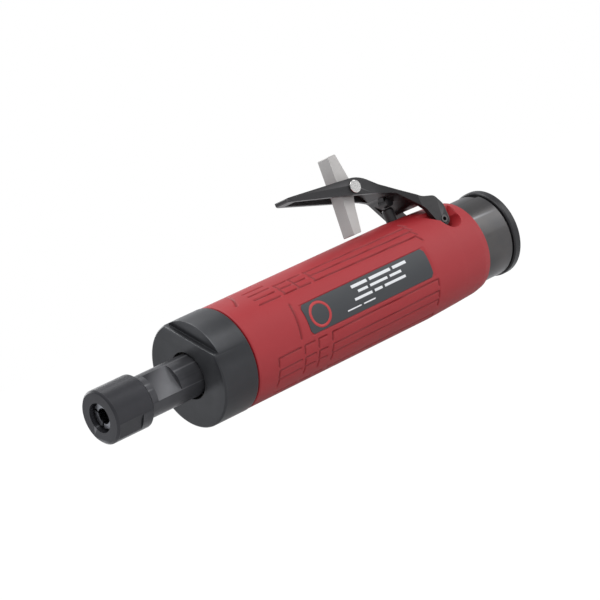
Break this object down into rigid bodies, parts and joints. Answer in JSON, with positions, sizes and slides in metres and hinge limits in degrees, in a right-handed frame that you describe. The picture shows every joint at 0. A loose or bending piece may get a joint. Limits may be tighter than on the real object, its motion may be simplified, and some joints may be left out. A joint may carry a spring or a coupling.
{
  "type": "straight air die grinder",
  "caption": "Straight air die grinder with a collet, a rubber grip, a lever throttle with a lock-off catch, and a rear exhaust round the air inlet.",
  "frame": {"origin": "centre of the collet's mouth", "axes": "+X along the spindle to the air inlet, +Z to the throttle lever"},
  "size_m": [0.2, 0.0404, 0.0722],
  "materials": {
    "black_oxide": "satin black oxide",
    "cap_steel": "satin dark cap",
    "red_rubber": "satin moulded rubber",
    "label_film": null,
    "lever_black": "satin black coating",
    "bright_steel": "polished steel",
    "catch_grey": "satin light grey",
    "gunmetal": "dark, turned",
    "rim_black": "satin black",
    "plain_steel": "machined",
    "housing_red": "red, seen in the lever pockets",
    "brass": "machined",
    "black_rubber": "moulded",
    "blade_composite": "fibre composite",
    "gasket_fibre": "pressed fibre",
    "muffler_felt": "felt",
    "seal_felt": "felt"
  },
  "bodies": {
    "housing": {"front_cap": "cap_steel", "spindle_seal": "seal_felt", "motor_housing": "housing_red", "grip_sleeve": "red_rubber", "rear_collar": "red_rubber", "label": "label_film", "front_end_plate": "plain_steel", "front_bearing_outer_race": "bright_steel", "cylinder": "plain_steel", "cylinder_dowel": "bright_steel", "rear_end_plate": "plain_steel", "rear_bearing_outer_race": "bright_steel", "end_gasket": "gasket_fibre", "wave_spring": "bright_steel", "throttle_pin_bushing": "brass", "throttle_o_ring": "black_rubber", "valve_seat": "brass", "valve_spring": "bright_steel", "inlet_bushing": "plain_steel", "inlet_screen": "bright_steel", "inlet_o_ring": "black_rubber", "muffler": "muffler_felt", "rear_flange": "rim_black", "deflector_o_ring": "black_rubber", "lever_pin": "bright_steel"},
    "spindle": {"rotor": "plain_steel", "rotor_blade_1": "blade_composite", "rotor_blade_2": "blade_composite", "rotor_blade_3": "blade_composite", "rotor_blade_4": "blade_composite", "collet_body": "black_oxide", "bearing_spacer": "bright_steel", "front_bearing_inner_race": "bright_steel", "rear_bearing_inner_race": "bright_steel"},
    "front_ball_set": {"front_bearing_balls": "bright_steel", "front_bearing_cage": "brass"},
    "rear_ball_set": {"rear_bearing_balls": "bright_steel", "rear_bearing_cage": "brass"},
    "collet": {"collet": "plain_steel"},
    "nut": {"collet_nut": "black_oxide"},
    "lever": {"throttle_lever": "lever_black", "catch_rivet": "bright_steel", "catch_spring": "bright_steel"},
    "catch": {"safety_catch": "catch_grey"},
    "plunger": {"throttle_pin": "lever_black"},
    "valve": {"valve_stem": "bright_steel", "valve_face": "black_rubber"},
    "deflector": {"exhaust_deflector": "gunmetal"}
  },
  "joints": [
    {"name": "spindle_spin", "type": "hinge", "parent": "housing", "child": "spindle", "pos_m": [0.06, 0, 0], "axis": [1, 0, 0], "continuous": true},
    {"name": "front_cage_spin", "type": "hinge", "parent": "housing", "child": "front_ball_set", "pos_m": [0.058, 0, 0], "axis": [1, 0, 0], "continuous": true},
    {"name": "rear_cage_spin", "type": "hinge", "parent": "housing", "child": "rear_ball_set", "pos_m": [0.1205, 0, 0], "axis": [1, 0, 0], "continuous": true},
    {"name": "collet_release", "type": "slide", "parent": "spindle", "child": "collet", "axis": [-1, 0, 0], "range_m": [0, 0.002]},
    {"name": "nut_turn", "type": "hinge", "parent": "collet", "child": "nut", "pos_m": [0, 0, 0], "axis": [-1, 0, 0], "range_deg": [0, 724]},
    {"name": "throttle_press", "type": "hinge", "parent": "housing", "child": "lever", "pos_m": [0.1696, 0, 0.0125], "axis": [0, -1, 0], "range_deg": [0, 9], "stiffness_Nm_per_rad": 0.6, "springref_deg": -5.73},
    {"name": "catch_fold", "type": "hinge", "parent": "lever", "child": "catch", "pos_m": [0.1391, 0, 0.0377], "axis": [0, 1, 0], "range_deg": [0, 70]},
    {"name": "throttle_pin_slide", "type": "slide", "parent": "housing", "child": "plunger", "axis": [0, 0, -1], "range_m": [0, 0.0025]},
    {"name": "valve_tilt", "type": "hinge", "parent": "housing", "child": "valve", "pos_m": [0.1681, 0, 0.005], "axis": [0, -1, 0], "range_deg": [0, 12], "deforming": ["valve_spring"]},
    {"name": "deflector_turn", "type": "hinge", "parent": "housing", "child": "deflector", "pos_m": [0.186, 0, 0], "axis": [1, 0, 0], "continuous": true}
  ],
  "couplings": [
    {"joint": "front_cage_spin", "follows": "spindle_spin", "ratio": 0.3678},
    {"joint": "rear_cage_spin", "follows": "spindle_spin", "ratio": 0.3677},
    {"joint": "nut_turn", "follows": "collet_release", "rad_per_m": 6283.2},
    {"joint": "catch_fold", "follows": "throttle_press", "ratio": 7},
    {"joint": "throttle_pin_slide", "follows": "throttle_press", "m_per_rad": 0.015},
    {"joint": "valve_tilt", "follows": "throttle_press", "ratio": 1.18}
  ]
}
